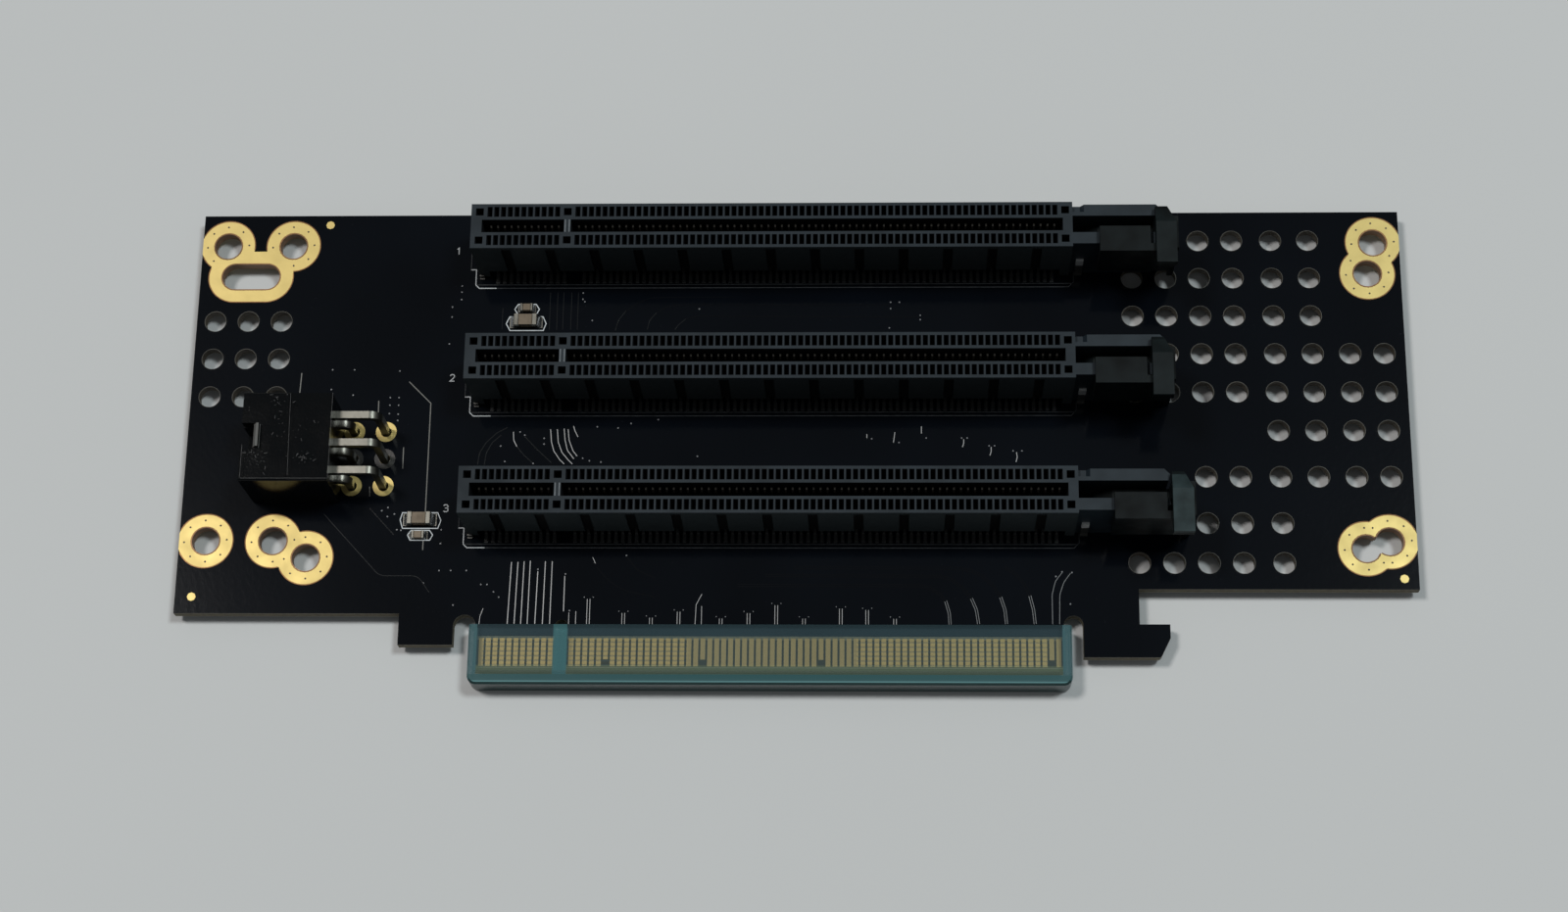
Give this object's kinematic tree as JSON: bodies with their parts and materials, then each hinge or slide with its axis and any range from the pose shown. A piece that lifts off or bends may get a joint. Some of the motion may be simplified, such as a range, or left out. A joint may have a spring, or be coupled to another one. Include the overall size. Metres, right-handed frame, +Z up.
{
  "type": "pcie riser card",
  "caption": "Flat riser card with rows of latched long expansion slots, a bent-pin power inlet, ringed fixing holes, a vent field and a clear sleeve over its contact edge.",
  "frame": {"origin": "middle of the outline's box, on the surface that the card lies on", "axes": "+X along the contact edge, from the power inlet to the latches; +Y from the contact edge to the far slot; +Z up, the way the cards leave the slots"},
  "size_m": [0.18, 0.0732, 0.0162],
  "materials": {
    "board_mask": "glossy black solder mask on glass laminate",
    "gold_plating": "satin gold plating",
    "slot_plastic": "black moulded plastic, satin",
    "latch_plastic": "dark grey moulded plastic, satin",
    "inlet_plastic": "black moulded plastic, glossy",
    "tinned_metal": "tinned, satin",
    "solder": "bright solder",
    "ceramic": "brown sintered ceramic",
    "cover_plastic": "clear blue-green sleeve"
  },
  "bodies": {
    "board": {"circuit_board": "board_mask", "fixing_pads": "gold_plating", "alignment_dots": "gold_plating", "edge_contacts_front": "gold_plating", "edge_contacts_back": "gold_plating", "slot_housing_1": "slot_plastic", "slot_housing_2": "slot_plastic", "slot_housing_3": "slot_plastic", "slot_hold_downs_1": "tinned_metal", "slot_hold_downs_2": "tinned_metal", "slot_hold_downs_3": "tinned_metal", "power_inlet_housing": "inlet_plastic", "power_pins_lower": "tinned_metal", "power_pins_upper": "tinned_metal", "power_pin_solder": "solder", "capacitor_bodies": "ceramic", "capacitor_ends": "tinned_metal"},
    "latch_1": {"slot_latch_1": "latch_plastic"},
    "latch_2": {"slot_latch_2": "latch_plastic"},
    "latch_3": {"slot_latch_3": "latch_plastic"},
    "cover": {"edge_cover": "cover_plastic"}
  },
  "joints": [
    {"name": "latch_1_slide", "type": "slide", "parent": "board", "child": "latch_1", "axis": [1, 0, 0], "range_m": [-0.0011, 0.0019]},
    {"name": "latch_2_slide", "type": "slide", "parent": "board", "child": "latch_2", "axis": [1, 0, 0], "range_m": [0, 0.003]},
    {"name": "latch_3_slide", "type": "slide", "parent": "board", "child": "latch_3", "axis": [1, 0, 0], "range_m": [-0.00225, 0.00075]},
    {"name": "cover_slide", "type": "slide", "parent": "board", "child": "cover", "axis": [0, -1, 0], "range_m": [0, 0.01]}
  ]
}
